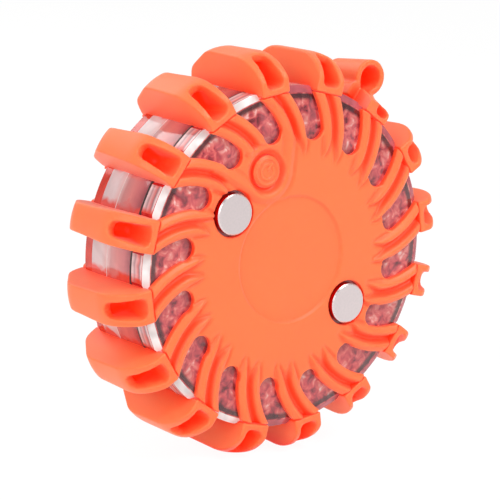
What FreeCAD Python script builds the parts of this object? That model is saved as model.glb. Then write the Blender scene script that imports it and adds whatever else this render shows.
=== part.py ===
import FreeCAD, Part
import math
import os

# LED safety flare: a clear two-part puck full of LEDs, held in an orange two-part rubber cover.
# Millimetres. The disc's axis lies along Y, the front face looks towards -Y and +Z is up, so the
# flare stands on two neighbouring fins. The origin is the centre of the sunk disc in the front face.
# Angles are counted from +X towards +Z, as seen from the front.

# ---- fins and covers ----
fin_count = 16
fin_pitch = 360.0 / fin_count
first_fin_angle = fin_pitch / 2
fin_height = 10.05
fin_width = 8.6
fin_edge_round = 1.5
fin_nose_rise = 0.65
fin_nose_length = 3.6
fin_shoulder_depth = 10.2
fin_heel_length = 7.6
fin_heel_height = 4.25
overall_depth = 31.3
cover_thickness = 1.5
rear_cover_thickness = 1.8
cover_fit = 0.15
sunk_radius = 16.3
sunk_depth = 0.6

# ---- scoop in the nose of each fin ----
scoop_width = 4.7
scoop_floor = 1.3
scoop_depth = 7.1
pocket_depth = 12.0
pocket_skin = 2.6

# ---- arms of the covers ----
arm_width = 7.7
arm_root_radius = 27.4
swirl_lag = 11.0
swirl_power = 1.55
window_start = 31.6
window_round = 2.8
rib_radius = 0.95
rib_offset = 2.2
rib_rise = 0.7
groove_radius = 1.25
groove_sink = 0.75
flow_join_radius = 31.0
flow_from = (6, -1)
flow_to = (4, 1)

# ---- hanging eyelet ----
eyelet_fin = 2
eyelet_rise = 0.9
eyelet_bore = 3.2
eyelet_wall = 1.7
eyelet_length = 13.8
eyelet_setback = 9.2
eyelet_nose_height = 5.25

# ---- clear housing ----
housing_radius = 43.4
housing_wall = 1.6
edge_chamfer_radial = 1.3
edge_chamfer_axial = 0.9
gasket_setback = 7.0
gasket_width = 1.2
gasket_depth = 1.1
spigot_wall = 1.0
spigot_length = 2.6
spigot_fit = 0.1
lug_width = 7.2
lug_rise = 0.35
lug_length = 3.9
dome_radius = 15.3
dome_rise = 1.3
dome_fit = 0.5

# ---- magnets ----
magnet_radius = 5.3
magnet_thickness = 4.0
magnet_pitch_radius = 23.4
magnet_angle = 146.25
magnet_proud = 0.75
magnet_fit = 0.08
magnet_cover_gap = 0.7
magnet_cup_wall = 1.0
magnet_chamfer = 0.3

# ---- power button and switch ----
button_angle = 112.5
button_pitch_radius = 25.2
button_radius = 4.0
button_gap = 0.3
button_travel = 0.8
button_proud = 0.2
button_flange = 1.0
button_flange_thickness = 0.6
button_dish_sink = 0.35
button_dish_radius = 3.3
valley_width = 1.3
valley_depth = 0.7
symbol_radius = 1.9
symbol_stroke = 0.6
symbol_rise = 0.25
symbol_lean = 60.0
symbol_gap = 1.2
symbol_bar_start = 0.3
collar_radius = 6.6
plunger_radius = 1.9
running_fit = 0.05
guide_wall = 1.7
guide_length = 6.0
seal_width = 1.2
seal_height = 1.1
switch_size = 6.0
switch_height = 3.5
switch_stem_radius = 1.7
switch_stem_out = 1.0
switch_stem_fit = 0.1

# ---- circuit board and what is on it ----
board_gap = 1.3
board_thickness = 1.6
board_front = 18.0
chip_length = 9.9
chip_width = 3.9
chip_height = 1.4
chip_pitch_radius = 25.5
resistor_length = 2.0
resistor_width = 1.25
resistor_height = 0.5
resistor_inset = 5.5

# ---- LEDs and reflectors ----
led_radius = 2.5
led_flange_radius = 2.9
led_flange_thickness = 1.0
led_length = 8.6
led_lead = 0.5
led_lead_spacing = 2.54
led_lead_bend = 0.9
led_fit = 0.1
edge_led_tip_gap = 1.9
edge_led_height = 3.2
reflector_wall = 1.2
reflector_front = 3.6
reflector_facets = 2 * fin_count
work_led_count = 3
work_led_pitch_radius = 7.0
work_reflector_radius = 13.4
work_reflector_height = 6.4
work_cup_mouth = 5.6
cup_fit = 0.2

# ---- battery tray ----
cell_count = 3
cell_radius = 5.2
cell_length = 44.5
cell_tip_radius = 1.9
cell_tip_length = 0.9
cell_fit = 0.2
cell_slack = 0.1
tray_wall = 1.2
tray_floor = 1.0
tray_setback = 4.4
tray_height = 10.6
tray_foot_width = 1.5
tray_foot_spread = 5.0
tray_foot_inset = 5.0
spring_room = 2.6
spring_radius = 2.3
spring_wire = 0.25
spring_turns = 2
spring_bead = 0.26
plate_thickness = 0.4
plate_width = 7.0
tab_width = 2.0

# ---- screws ----
screw_count = 4
screw_first_angle = first_fin_angle + fin_pitch
screw_inset = 4.8
screw_radius = 1.3
screw_head_radius = 2.3
screw_head_height = 1.7
screw_length = 15.0
screw_fit = 0.2
boss_radius = 2.9
screw_slot = 0.7
screw_slot_reach = 1.6
screw_slot_depth = 0.8
screw_head_cover = 0.6

# ---- levels along the axis ----
face_y = -sunk_depth
housing_front = face_y + cover_thickness
rear_face = face_y + overall_depth
housing_back = rear_face - rear_cover_thickness
gasket_front = face_y + gasket_setback
gasket_back = gasket_front + gasket_width
inner_front = housing_front + housing_wall
inner_back = housing_back - housing_wall
board_back = board_front + board_thickness
magnet_front = face_y - magnet_proud
magnet_back = magnet_front + magnet_thickness
button_front = face_y - button_proud
switch_front = board_front - switch_height
stem_front = switch_front - switch_stem_out
fin_inner_radius = housing_radius + cover_fit
fin_reach = fin_inner_radius + fin_height
eyelet_centre = fin_reach + eyelet_rise
eyelet_nose_reach = fin_inner_radius + eyelet_nose_height
inner_radius = housing_radius - housing_wall
board_radius = inner_radius - board_gap
resistor_pitch_radius = board_radius - resistor_inset
screw_pitch_radius = inner_radius - screw_inset
edge_led_base_radius = inner_radius - edge_led_tip_gap - led_length
reflector_inner = edge_led_base_radius + led_flange_thickness
tray_half_length = cell_length / 2 + spring_room / 2 + plate_thickness + tray_wall
cell_pitch = 2 * (cell_radius + cell_fit)
tray_half_width = cell_count * cell_pitch / 2 + tray_wall
cell_centre_y = tray_setback + tray_floor + cell_radius + cell_fit
rib_level = face_y - rib_rise + rib_radius

AXIS = FreeCAD.Vector(0, 1, 0)
CENTRE = FreeCAD.Vector(0, 0, 0)


# ---- small shape tools ----
def point(x, y, z):
    return FreeCAD.Vector(x, y, z)


def polar(radius, angle, y=0.0):
    """Point at a radius and angle round the disc's axis."""
    turn = math.radians(angle)
    return point(radius * math.cos(turn), y, radius * math.sin(turn))


def rod(radius, low, high, at=CENTRE):
    """Cylinder along the disc's axis, from one level to another."""
    base = point(at.x, low, at.z)
    return Part.makeCylinder(radius, high - low, base, AXIS)


def tube(outer, inner, low, high, at=CENTRE):
    """Hollow cylinder along the disc's axis."""
    return rod(outer, low, high, at).cut(rod(inner, low - 1, high + 1, at))


def block(x_low, x_high, y_low, y_high, z_low, z_high):
    """Box between two corners."""
    corner = point(x_low, y_low, z_low)
    return Part.makeBox(x_high - x_low, y_high - y_low, z_high - z_low, corner)


def outline(points):
    """Flat face from a closed run of (radius, level) corners."""
    corners = [point(radius, level, 0) for radius, level in points]
    return Part.Face(Part.makePolygon(corners + corners[:1]))


def spun(points):
    """Solid of revolution about the disc's axis from (radius, level) corners."""
    return outline(points).revolve(CENTRE, AXIS, 360)


def turned(shape, angle):
    """Copy of a shape made along +X, turned to an angle round the disc's axis."""
    copy = shape.copy()
    copy.rotate(CENTRE, AXIS, -angle)
    return copy


def mirrored(shape):
    """Copy of a front-side shape on the rear side of the flare."""
    middle = (face_y + rear_face) / 2
    return shape.mirror(point(0, middle, 0), AXIS)


def joined(shapes):
    """One solid from shapes that overlap or touch."""
    return shapes[0].fuse(shapes[1:]).removeSplitter()


def fin_angle(index):
    return first_fin_angle + index * fin_pitch


def save(shape, node):
    shape.exportStep("parts/" + node + ".step")


# ---- the swirl of the arms ----
def swirl(radius):
    """Angle by which an arm trails its fin at a radius."""
    share = max(0.0, (radius - arm_root_radius) / (housing_radius - arm_root_radius))
    return swirl_lag * (share ** swirl_power - 1)


def swirl_slant(radius):
    """Cosine of the angle between an arm and the radius that it crosses."""
    step = 0.01
    turn = math.radians(swirl(radius + step) - swirl(radius - step)) / (2 * step)
    return 1 / math.hypot(1, radius * turn)


def across_arm(radius, offset):
    """Angle at a radius of a line that runs at an offset beside the arm's middle."""
    return swirl(radius) + math.degrees(offset / (radius * swirl_slant(radius)))


def bow(start, middle, end):
    """Circular arc through three points, as an edge."""
    return Part.Arc(start, middle, end).toShape()


def flat_ended_bar(start, middle, end, radius):
    """Round bar along an arc."""
    arc = Part.Arc(start, middle, end)
    heading = arc.tangent(arc.FirstParameter)[0]
    profile = Part.Wire(Part.makeCircle(radius, start, heading))
    return Part.Wire(arc.toShape()).makePipeShell([profile], True, False)


def round_bar(start, middle, end, radius):
    """Round bar along an arc, with a ball at each end."""
    bar = flat_ended_bar(start, middle, end, radius)
    return bar.fuse([Part.makeSphere(radius, start), Part.makeSphere(radius, end)])


def arm_line(offset, inner, level):
    """Three points of a line that runs at an offset beside an arm's middle, out past the rim."""
    outer = housing_radius + 2
    radii = [inner, (inner + outer) / 2, outer]
    return [polar(radius, across_arm(radius, offset), level) for radius in radii]


def window_cutter():
    """Through-cut between two neighbouring arms, open at the rim, round at its inner end."""
    low = face_y - 5
    near = window_start + window_round
    first_side = arm_line(arm_width / 2, near, low)
    other_side = [polar_turned(place, fin_pitch) for place in arm_line(-arm_width / 2, near, low)]
    tip = polar(window_start, fin_pitch / 2 + swirl(window_start), low)
    edges = [bow(*first_side), bow(*other_side), bow(first_side[0], tip, other_side[0])]
    edges.append(Part.LineSegment(first_side[-1], other_side[-1]).toShape())
    wire = Part.Wire(Part.__sortEdges__(edges))
    return Part.Face(wire).extrude(point(0, 10, 0))


def polar_turned(place, angle):
    """A point turned round the disc's axis."""
    turn = math.radians(angle)
    x = place.x * math.cos(turn) - place.z * math.sin(turn)
    z = place.x * math.sin(turn) + place.z * math.cos(turn)
    return point(x, place.y, z)


def rib(side, inner=arm_root_radius):
    """One of an arm's two round-topped ribs."""
    return round_bar(*arm_line(side * rib_offset, inner, rib_level), rib_radius)


def groove_cutter():
    """Hollow between an arm's two ribs."""
    level = face_y + groove_sink - groove_radius
    return round_bar(*arm_line(0, window_start, level), groove_radius)


def arm_ribs():
    """Both ribs of every arm; the two that flow round the button start further out."""
    ribs = []
    for index in range(fin_count):
        for side in (-1, 1):
            flows = (index, side) in (flow_from, flow_to)
            inner = flow_join_radius if flows else arm_root_radius
            ribs.append(turned(rib(side, inner), fin_angle(index)))
    return ribs


def arm_cuts():
    """The windows between the arms and the groove along each arm."""
    cuts = []
    for index in range(fin_count):
        cuts.append(turned(window_cutter(), fin_angle(index)))
        cuts.append(turned(groove_cutter(), fin_angle(index)))
    return cuts


# ---- covers ----
def magnet_places():
    return [polar(magnet_pitch_radius, magnet_angle), polar(magnet_pitch_radius, magnet_angle + 180)]


def button_place():
    return polar(button_pitch_radius, button_angle)


def flow_rib():
    """Rib that leaves one arm, runs round the button and joins another arm, in three arcs."""
    centre = button_place()
    reach = button_radius + button_gap + valley_width + rib_radius
    below = button_angle + 180
    first, middle, last = [centre + polar(reach, below + turn, rib_level) for turn in (-70, 0, 70)]
    bars = [round_bar(first, middle, last, rib_radius)]
    for arm, near in ((flow_from, first), (flow_to, last)):
        index, side = arm
        angle = fin_angle(index) + across_arm(flow_join_radius, side * rib_offset)
        far = polar(flow_join_radius, angle, rib_level)
        sideways = centre.sub(near)
        bend = (near + far) * 0.5 + point(sideways.x, 0, sideways.z) * 0.06
        bars.append(round_bar(near, bend, far, rib_radius))
    return bars


def front_cover():
    """Soft rubber disc with sixteen swirling arms, holes for the magnets and the button."""
    plate = spun([
        (0, 0),
        (sunk_radius, 0),
        (sunk_radius, face_y),
        (housing_radius, face_y),
        (housing_radius, housing_front + edge_chamfer_axial),
        (housing_radius - edge_chamfer_radial, housing_front),
        (0, housing_front),
    ])
    button = button_place()
    valley_outer = button_radius + button_gap + valley_width
    cuts = [rod(valley_outer, face_y - 5, face_y + valley_depth, button)]
    cuts.append(rod(button_radius + button_gap, face_y - 5, housing_front + 5, button))
    for place in magnet_places():
        cuts.append(rod(magnet_radius + magnet_cover_gap, face_y - 5, housing_front + 5, place))
    cuts.append(tube(housing_radius + 5, housing_radius, face_y - 5, housing_front + 5))
    cuts.append(spun([
        (0, housing_front),
        (housing_radius - edge_chamfer_radial, housing_front),
        (housing_radius, housing_front + edge_chamfer_axial),
        (housing_radius, housing_front + 5),
        (0, housing_front + 5),
    ]))
    return plate.fuse(arm_ribs()).cut(arm_cuts()).fuse(flow_rib()).cut(cuts).removeSplitter()


def fin_profile(reach):
    """Side view of a fin, from the seam over its nose, along its back and down its heel."""
    nose = point(fin_inner_radius + fin_nose_length, face_y - fin_nose_rise, 0)
    shoulder = point(reach, face_y + fin_shoulder_depth, 0)
    run = shoulder.sub(nose)
    curve_radius = (run.x ** 2 + run.y ** 2) / (2 * run.x)
    curve_centre = point(reach - curve_radius, shoulder.y, 0)
    half_turn = math.asin(run.y / curve_radius) / 2
    middle = curve_centre + point(math.cos(half_turn), -math.sin(half_turn), 0) * curve_radius
    corners = [
        shoulder,
        point(reach, rear_face - fin_heel_length, 0),
        point(fin_inner_radius + fin_heel_height, rear_face, 0),
        point(fin_inner_radius - 1, rear_face, 0),
        point(fin_inner_radius - 1, nose.y, 0),
        nose,
    ]
    edges = [Part.Arc(nose, middle, shoulder).toShape()]
    for start, end in zip(corners, corners[1:]):
        edges.append(Part.LineSegment(start, end).toShape())
    return Part.Face(Part.Wire(Part.__sortEdges__(edges)))


def fin(reach=fin_reach):
    """Fin with softly rounded long edges and a scoop in its nose, along +X, its foot on the rim."""
    profile = fin_profile(reach)
    profile.translate(point(0, 0, -fin_width / 2))
    solid = profile.extrude(point(0, 0, fin_width))
    sides = []
    for edge in solid.Edges:
        middle = edge.CenterOfMass
        if abs(abs(middle.z) - fin_width / 2) < 0.01 and middle.x > fin_inner_radius - 0.9:
            sides.append(edge)
    rim = rod(fin_inner_radius, face_y - 5, rear_face + 5)
    return solid.makeFillet(fin_edge_round, sides).cut([scoop_cutter(reach), rim])


def round_slot(low, high, depth):
    """Slot in a fin's nose between two radii, with a round rear end."""
    half = scoop_width / 2
    end_y = face_y + depth - half
    slot = block(low, high, face_y - 5, end_y, -half, half)
    return slot.fuse(Part.makeCylinder(half, high - low, point(low, end_y, 0), point(1, 0, 0)))


def scoop_cutter(reach):
    """Scoop in the nose of a fin, with a pocket that runs on behind it under the fin's skin."""
    floor = fin_inner_radius + scoop_floor
    scoop = round_slot(floor, fin_reach + 5, scoop_depth)
    return scoop.fuse(round_slot(floor, reach - pocket_skin, pocket_depth))


def low_fin():
    """Fin under the eyelet: lower than the others, with a short nose in front of the eyelet."""
    shape = fin(eyelet_centre - eyelet_bore - eyelet_wall / 2)
    front = face_y + eyelet_setback
    return shape.cut(block(eyelet_nose_reach, fin_reach, face_y - 5, front, -fin_width, fin_width))


def eyelet():
    """Hanging eyelet: a tube along the disc's axis on the low fin, along +X."""
    front = face_y + eyelet_setback
    return rod(eyelet_bore + eyelet_wall, front, front + eyelet_length, point(eyelet_centre, 0, 0))


def rear_cover():
    """Soft rubber disc across the back: swirling arms round an opening for the window."""
    opening = dome_radius + dome_fit
    back = spun([
        (opening, housing_back),
        (housing_radius - edge_chamfer_radial, housing_back),
        (fin_inner_radius, housing_back - edge_chamfer_axial),
        (fin_inner_radius, rear_face),
        (opening, rear_face),
    ])
    cuts = [mirrored(cut) for cut in arm_cuts()]
    cuts.append(tube(fin_inner_radius + 5, fin_inner_radius, housing_back - 5, rear_face + 5))
    cuts.append(spun([
        (0, housing_back - 5),
        (fin_inner_radius, housing_back - 5),
        (fin_inner_radius, housing_back - edge_chamfer_axial),
        (housing_radius - edge_chamfer_radial, housing_back),
        (0, housing_back),
    ]))
    return back.fuse([mirrored(bar) for bar in arm_ribs()]).cut(cuts).removeSplitter()


def rear_fins():
    """The rear cover's fins along the side of the puck, each moulded on the end of an arm."""
    plain = fin()
    places = [index for index in range(fin_count) if index != eyelet_fin]
    return Part.makeCompound([turned(plain, fin_angle(index)) for index in places])


def eyelet_fin_solid():
    """The rear cover's low fin, with the hanging eyelet moulded on its back."""
    bore = rod(eyelet_bore, face_y - 5, rear_face + 5, point(eyelet_centre, 0, 0))
    return turned(low_fin().fuse(eyelet()).cut(bore).removeSplitter(), fin_angle(eyelet_fin))


# ---- housing ----
def screw_places():
    pitch = 360.0 / screw_count
    return [polar(screw_pitch_radius, screw_first_angle + index * pitch) for index in range(screw_count)]


def lug(angle):
    """Low rectangular lug on the rim of the front shell, between two fins."""
    low = gasket_front - lug_length
    half = lug_width / 2
    shape = block(housing_radius - 1, housing_radius + lug_rise, low, gasket_front, -half, half)
    return turned(shape, angle)


def front_housing():
    """Clear front shell: face, rim, magnet cups, button guide, screw bosses and a spigot."""
    shell = spun([
        (0, housing_front),
        (housing_radius - edge_chamfer_radial, housing_front),
        (housing_radius, housing_front + edge_chamfer_axial),
        (housing_radius, gasket_front),
        (inner_radius - spigot_fit, gasket_front),
        (inner_radius - spigot_fit, gasket_front + spigot_length),
        (inner_radius - spigot_fit - spigot_wall, gasket_front + spigot_length),
        (inner_radius - spigot_fit - spigot_wall, inner_front),
        (0, inner_front),
    ])
    adds = []
    cuts = []
    for index in range(fin_count):
        adds.append(lug(fin_angle(index) + fin_pitch / 2))
    for place in magnet_places():
        bore = magnet_radius + magnet_fit
        adds.append(rod(bore + magnet_cup_wall, housing_front + 0.1, magnet_back + magnet_cup_wall, place))
        cuts.append(rod(bore, housing_front - 1, magnet_back, place))
    for place in screw_places():
        adds.append(rod(boss_radius, inner_front - 0.5, board_front, place))
        cuts.append(rod(screw_radius, board_front - screw_length, board_front + 1, place))
    button = button_place()
    pit_radius = button_radius + button_flange + button_gap
    pit_floor = housing_front + button_flange_thickness + button_travel + running_fit
    guide_end = pit_floor + guide_length
    adds.append(rod(collar_radius, housing_front + 0.1, pit_floor + housing_wall, button))
    adds.append(rod(plunger_radius + guide_wall + seal_width, pit_floor, guide_end, button))
    cuts.append(rod(pit_radius, housing_front - 1, pit_floor, button))
    cuts.append(rod(plunger_radius + running_fit, housing_front - 1, guide_end + 1, button))
    cuts.append(rod(plunger_radius + seal_width, guide_end - seal_height, guide_end + 1, button))
    return shell.fuse(adds).cut(cuts).removeSplitter()


def rear_housing():
    """Clear rear shell: side wall, back with a raised window, and screw bosses."""
    shell = spun([
        (0, housing_back + dome_rise),
        (dome_radius, housing_back + dome_rise),
        (dome_radius, housing_back),
        (housing_radius - edge_chamfer_radial, housing_back),
        (housing_radius, housing_back - edge_chamfer_axial),
        (housing_radius, gasket_back),
        (inner_radius, gasket_back),
        (inner_radius, inner_back),
        (dome_radius - housing_wall, inner_back),
        (dome_radius - housing_wall, inner_back + dome_rise),
        (0, inner_back + dome_rise),
    ])
    adds = []
    cuts = []
    for place in screw_places():
        adds.append(rod(boss_radius, board_back, inner_back + 0.5, place))
        cuts.append(rod(screw_radius + screw_fit, board_back - 1, housing_back + 1, place))
        cuts.append(rod(screw_head_radius + screw_fit, screw_head_seat(), housing_back + 1, place))
    return shell.fuse(adds).cut(cuts).removeSplitter()


def screw_head_seat():
    """Level at which the screw heads seat."""
    return housing_back - screw_head_height - screw_head_cover


def housing_gasket():
    """Dark rubber ring squeezed between the two shells."""
    return tube(housing_radius, housing_radius - gasket_depth, gasket_front, gasket_back)


def housing_screws():
    """Four pan-head screws with a cross slot, which clamp both shells on the board."""
    seat = screw_head_seat()
    top = seat + screw_head_height
    floor = top - screw_slot_depth
    half = screw_slot / 2
    screws = []
    for place in screw_places():
        shank = rod(screw_radius, seat - screw_length, seat, place)
        head = rod(screw_head_radius, seat, top, place)
        slots = []
        for along, across in ((screw_slot_reach, half), (half, screw_slot_reach)):
            slot = block(-along, along, floor, top + 1, -across, across)
            slot.translate(place)
            slots.append(slot)
        screws.append(shank.fuse(head).cut(slots))
    return Part.makeCompound(screws)


# ---- magnets ----
def magnet(place):
    """Nickel-plated disc magnet with a small chamfer at its front edge."""
    disc = rod(magnet_radius, magnet_front, magnet_back, place)
    front = [edge for edge in disc.Edges if abs(edge.CenterOfMass.y - magnet_front) < 0.01]
    return disc.makeChamfer(magnet_chamfer, front[:1])


# ---- button and switch ----
def power_symbol(place, level):
    """Raised generic power symbol: an open ring with a bar across its gap."""
    top = level - symbol_rise
    foot = level + 0.1
    half = symbol_stroke / 2
    ring = tube(symbol_radius + half, symbol_radius - half, top, foot, place)
    gap = block(0, 3 * symbol_radius, top - 1, foot + 1, -symbol_gap / 2, symbol_gap / 2)
    bar = block(symbol_bar_start, symbol_radius + symbol_stroke, top, foot, -half, half)
    gap, bar = turned(gap, symbol_lean), turned(bar, symbol_lean)
    gap.translate(place)
    bar.translate(place)
    return ring.cut(gap).fuse(bar)


def power_button():
    """Rubber push button with a dished top and a retaining flange under the cover."""
    place = button_place()
    pad = rod(button_radius, button_front, housing_front + button_flange_thickness, place)
    flange = rod(button_radius + button_flange, housing_front, housing_front + button_flange_thickness, place)
    dish = rod(button_dish_radius, button_front - 1, button_front + button_dish_sink, place)
    button = pad.fuse(flange).cut(dish)
    return button.fuse(power_symbol(place, button_front + button_dish_sink)).removeSplitter()


def button_plunger():
    """Plastic post that carries the button's press to the switch."""
    place = button_place()
    return rod(plunger_radius, housing_front + button_flange_thickness, stem_front, place)


def plunger_seal():
    """Rubber ring round the post, in the mouth of its guide."""
    place = button_place()
    pit_floor = housing_front + button_flange_thickness + button_travel + running_fit
    guide_end = pit_floor + guide_length
    inner = plunger_radius + running_fit
    return tube(plunger_radius + seal_width, inner, guide_end - seal_height, guide_end, place)


def switch_body():
    """Square tactile switch on the front of the board, under the post."""
    place = button_place()
    half = switch_size / 2
    body = block(place.x - half, place.x + half, switch_front, board_front, place.z - half, place.z + half)
    hole_depth = switch_front + button_travel + 2 * switch_stem_fit
    return body.cut(rod(switch_stem_radius + switch_stem_fit, switch_front - 1, hole_depth, place))


def switch_stem():
    """Moving stem of the tactile switch."""
    return rod(switch_stem_radius, stem_front, switch_front + switch_stem_fit, button_place())


# ---- board ----
def circuit_board():
    """Round board clamped between the bosses of the two shells."""
    board = rod(board_radius, board_front, board_back)
    hole_radius = screw_radius + screw_fit
    return board.cut([rod(hole_radius, board_front - 1, board_back + 1, place) for place in screw_places()])


def controller_chip():
    """Flash controller in a small outline package, below the battery tray."""
    half = chip_length / 2
    low = -chip_pitch_radius - chip_width / 2
    body = block(-half, half, board_front - chip_height, board_front - 0.1, low, low + chip_width)
    legs = []
    for index in range(8):
        x = -half + chip_length * (index + 0.5) / 8
        legs.append(block(x - 0.2, x + 0.2, board_front - 0.3, board_front, low - 1, low + chip_width + 1))
    return joined([body] + legs)


def led_resistors():
    """One chip resistor for each edge LED, on the back of the board."""
    shapes = []
    half = resistor_length / 2
    for index in range(fin_count):
        chip = block(resistor_pitch_radius - half, resistor_pitch_radius + half, board_back,
                     board_back + resistor_height, -resistor_width / 2, resistor_width / 2)
        shapes.append(turned(chip, index * fin_pitch))
    return Part.makeCompound(shapes)


# ---- LEDs ----
def bullet_led():
    """Body of a 5 mm LED along +X, its flange at the origin."""
    along = point(1, 0, 0)
    straight = led_length - led_radius
    flange = Part.makeCylinder(led_flange_radius, led_flange_thickness, CENTRE, along)
    body = Part.makeCylinder(led_radius, straight, CENTRE, along)
    dome = Part.makeSphere(led_radius, point(straight, 0, 0))
    return joined([flange, body, dome])


def edge_leds():
    """Sixteen LEDs that look outwards between the fins, each with two bent leads."""
    height = board_front - edge_led_height
    base = edge_led_base_radius
    led = bullet_led()
    led.translate(point(base, height, 0))
    parts = [led]
    half = led_lead / 2
    for side in (-led_lead_spacing / 2, led_lead_spacing / 2):
        out = block(base - led_lead_bend, base + 0.5, height - half, height + half, side - half, side + half)
        down = block(base - led_lead_bend, base - led_lead_bend + led_lead, height - half,
                     board_front, side - half, side + half)
        parts.append(out.fuse(down))
    one = joined(parts)
    return Part.makeCompound([turned(one, index * fin_pitch) for index in range(fin_count)])


def reflector_ring():
    """Bright faceted wall behind the edge LEDs, with a hole for each."""
    inner = []
    outer = []
    for index in range(reflector_facets):
        angle = (index + 0.5) * 360.0 / reflector_facets
        scale = 1 / math.cos(math.pi / reflector_facets)
        inner.append(polar(reflector_inner * scale, angle, reflector_front))
        outer.append(polar((reflector_inner + reflector_wall) * scale, angle, reflector_front))
    height = point(0, board_front - reflector_front, 0)
    wall = Part.Face(Part.makePolygon(outer + outer[:1])).extrude(height)
    hollow = Part.Face(Part.makePolygon(inner + inner[:1])).extrude(height)
    ring = wall.cut(hollow)
    holes = []
    for index in range(fin_count):
        hole = Part.makeCylinder(led_radius + led_fit, 10, point(reflector_inner - 5, 0, 0), point(1, 0, 0))
        hole.translate(point(0, board_front - edge_led_height, 0))
        holes.append(turned(hole, index * fin_pitch))
    return ring.cut(holes)


def work_led_places():
    pitch = 360.0 / work_led_count
    return [polar(work_led_pitch_radius, 90 + index * pitch) for index in range(work_led_count)]


def work_leds():
    """Three white LEDs that look out of the back."""
    leds = []
    for place in work_led_places():
        led = bullet_led()
        led.rotate(CENTRE, point(0, 0, 1), 90)
        led.translate(point(place.x, board_back, place.z))
        leds.append(led)
    return Part.makeCompound(leds)


def work_reflector():
    """Metallised block with a conical cup round each white LED."""
    top = board_back + work_reflector_height
    body = rod(work_reflector_radius, board_back, top)
    cuts = []
    for place in work_led_places():
        foot = point(place.x, board_back, place.z)
        flange_top = board_back + led_flange_thickness + cup_fit
        cuts.append(rod(led_flange_radius + led_fit, board_back - 1, flange_top, place))
        cuts.append(Part.makeCone(led_radius + cup_fit, work_cup_mouth, work_reflector_height, foot, AXIS))
    return body.cut(cuts)


# ---- battery ----
def cell_rows():
    """Centre height and direction of each cell: neighbours point opposite ways."""
    rows = []
    for index in range(cell_count):
        z = (index - (cell_count - 1) / 2) * cell_pitch
        rows.append((z, 1 if index % 2 == 0 else -1))
    return rows


def battery_tray():
    """Open tray for the cells, on two feet that stand on the front shell."""
    top = tray_setback + tray_height
    outer = block(-tray_half_length, tray_half_length, tray_setback, top, -tray_half_width, tray_half_width)
    inner = block(-tray_half_length + tray_wall, tray_half_length - tray_wall, tray_setback + tray_floor,
                  top + 1, -tray_half_width + tray_wall, tray_half_width - tray_wall)
    feet = []
    for z in (-tray_foot_spread, tray_foot_spread):
        reach = tray_half_length - tray_foot_inset
        half = tray_foot_width / 2
        feet.append(block(-reach, reach, inner_front, tray_setback + 0.2, z - half, z + half))
    return joined([outer.cut(inner)] + feet)


def battery_cells():
    """AAA cells side by side, each with its positive tip."""
    cells = []
    for z, way in cell_rows():
        shift = -way * (spring_room / 2 - cell_slack)
        half = cell_length / 2
        along = point(1, 0, 0)
        body = Part.makeCylinder(cell_radius, cell_length - cell_tip_length, point(-half, 0, 0), along)
        foot = point(half - cell_tip_length - 1, 0, 0)
        tip = Part.makeCylinder(cell_tip_radius, cell_tip_length + 1, foot, along)
        cell = body.fuse(tip)
        if way < 0:
            cell.rotate(CENTRE, AXIS, 180)
        cell.translate(point(-shift, cell_centre_y, z))
        cells.append(cell)
    return Part.makeCompound(cells)


def coil(length):
    """Coil of round wire along +X, in arcs of half a turn with a bead where they meet."""
    steps = 2 * spring_turns
    rise = length / steps
    bars = []
    beads = [Part.makeSphere(spring_bead, point(0, spring_radius, 0))]
    for step in range(steps):
        way = 1 if step % 2 == 0 else -1
        start = point(step * rise, way * spring_radius, 0)
        middle = point((step + 0.5) * rise, 0, way * spring_radius)
        end = point((step + 1) * rise, -way * spring_radius, 0)
        bars.append(flat_ended_bar(start, middle, end, spring_wire))
        beads.append(Part.makeSphere(spring_bead, end))
    return bars[0].fuse(bars[1:] + beads)


def contact_springs():
    """Coil contacts that press on the flat end of each cell."""
    springs = []
    wall = tray_half_length - tray_wall - plate_thickness
    flat_end = cell_length / 2 - (spring_room / 2 - cell_slack)
    wire = coil(wall - flat_end - 2 * spring_wire)
    wire.translate(point(-wall + spring_wire, 0, 0))
    for z, way in cell_rows():
        spring = turned(wire, 0 if way > 0 else 180)
        spring.translate(point(0, cell_centre_y, z))
        springs.append(spring)
    return Part.makeCompound(springs)


def contact_plates():
    """Sprung-steel plates at both ends of the tray, two with tabs up to the board."""
    plates = []
    outer = tray_half_length - tray_wall
    low = tray_setback + tray_floor
    half_height = cell_radius
    for z, way in cell_rows():
        for end in (-1, 1):
            x_low = min(end * outer, end * (outer - plate_thickness))
            plate = block(x_low, x_low + plate_thickness, low, low + 2 * half_height,
                          z - plate_width / 2, z + plate_width / 2)
            first = z < 0 and end < 0 and abs(z) > 1
            last = z > 0 and end > 0 and abs(z) > 1
            if first or last:
                tab = block(x_low, x_low + plate_thickness, low + half_height, board_front,
                            z - tab_width / 2, z + tab_width / 2)
                plate = plate.fuse(tab)
            plates.append(plate)
    return Part.makeCompound(plates)


# ---- build ----
def main():
    os.makedirs("parts", exist_ok=True)
    save(front_cover(), "front_cover")
    save(rear_cover(), "rear_cover")
    save(rear_fins(), "rear_fins")
    save(eyelet_fin_solid(), "eyelet_fin")
    save(front_housing(), "front_housing")
    save(rear_housing(), "rear_housing")
    save(housing_gasket(), "housing_gasket")
    save(housing_screws(), "housing_screws")
    first_magnet, second_magnet = magnet_places()
    save(magnet(first_magnet), "magnet_a")
    save(magnet(second_magnet), "magnet_b")
    save(power_button(), "power_button")
    save(button_plunger(), "button_plunger")
    save(plunger_seal(), "plunger_seal")
    save(switch_body(), "switch_body")
    save(switch_stem(), "switch_stem")
    save(circuit_board(), "circuit_board")
    save(controller_chip(), "controller_chip")
    save(led_resistors(), "led_resistors")
    save(edge_leds(), "edge_leds")
    save(reflector_ring(), "reflector_ring")
    save(work_leds(), "work_leds")
    save(work_reflector(), "work_reflector")
    save(battery_tray(), "battery_tray")
    save(battery_cells(), "battery_cells")
    save(contact_springs(), "contact_springs")
    save(contact_plates(), "contact_plates")


main()
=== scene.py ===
import math

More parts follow.
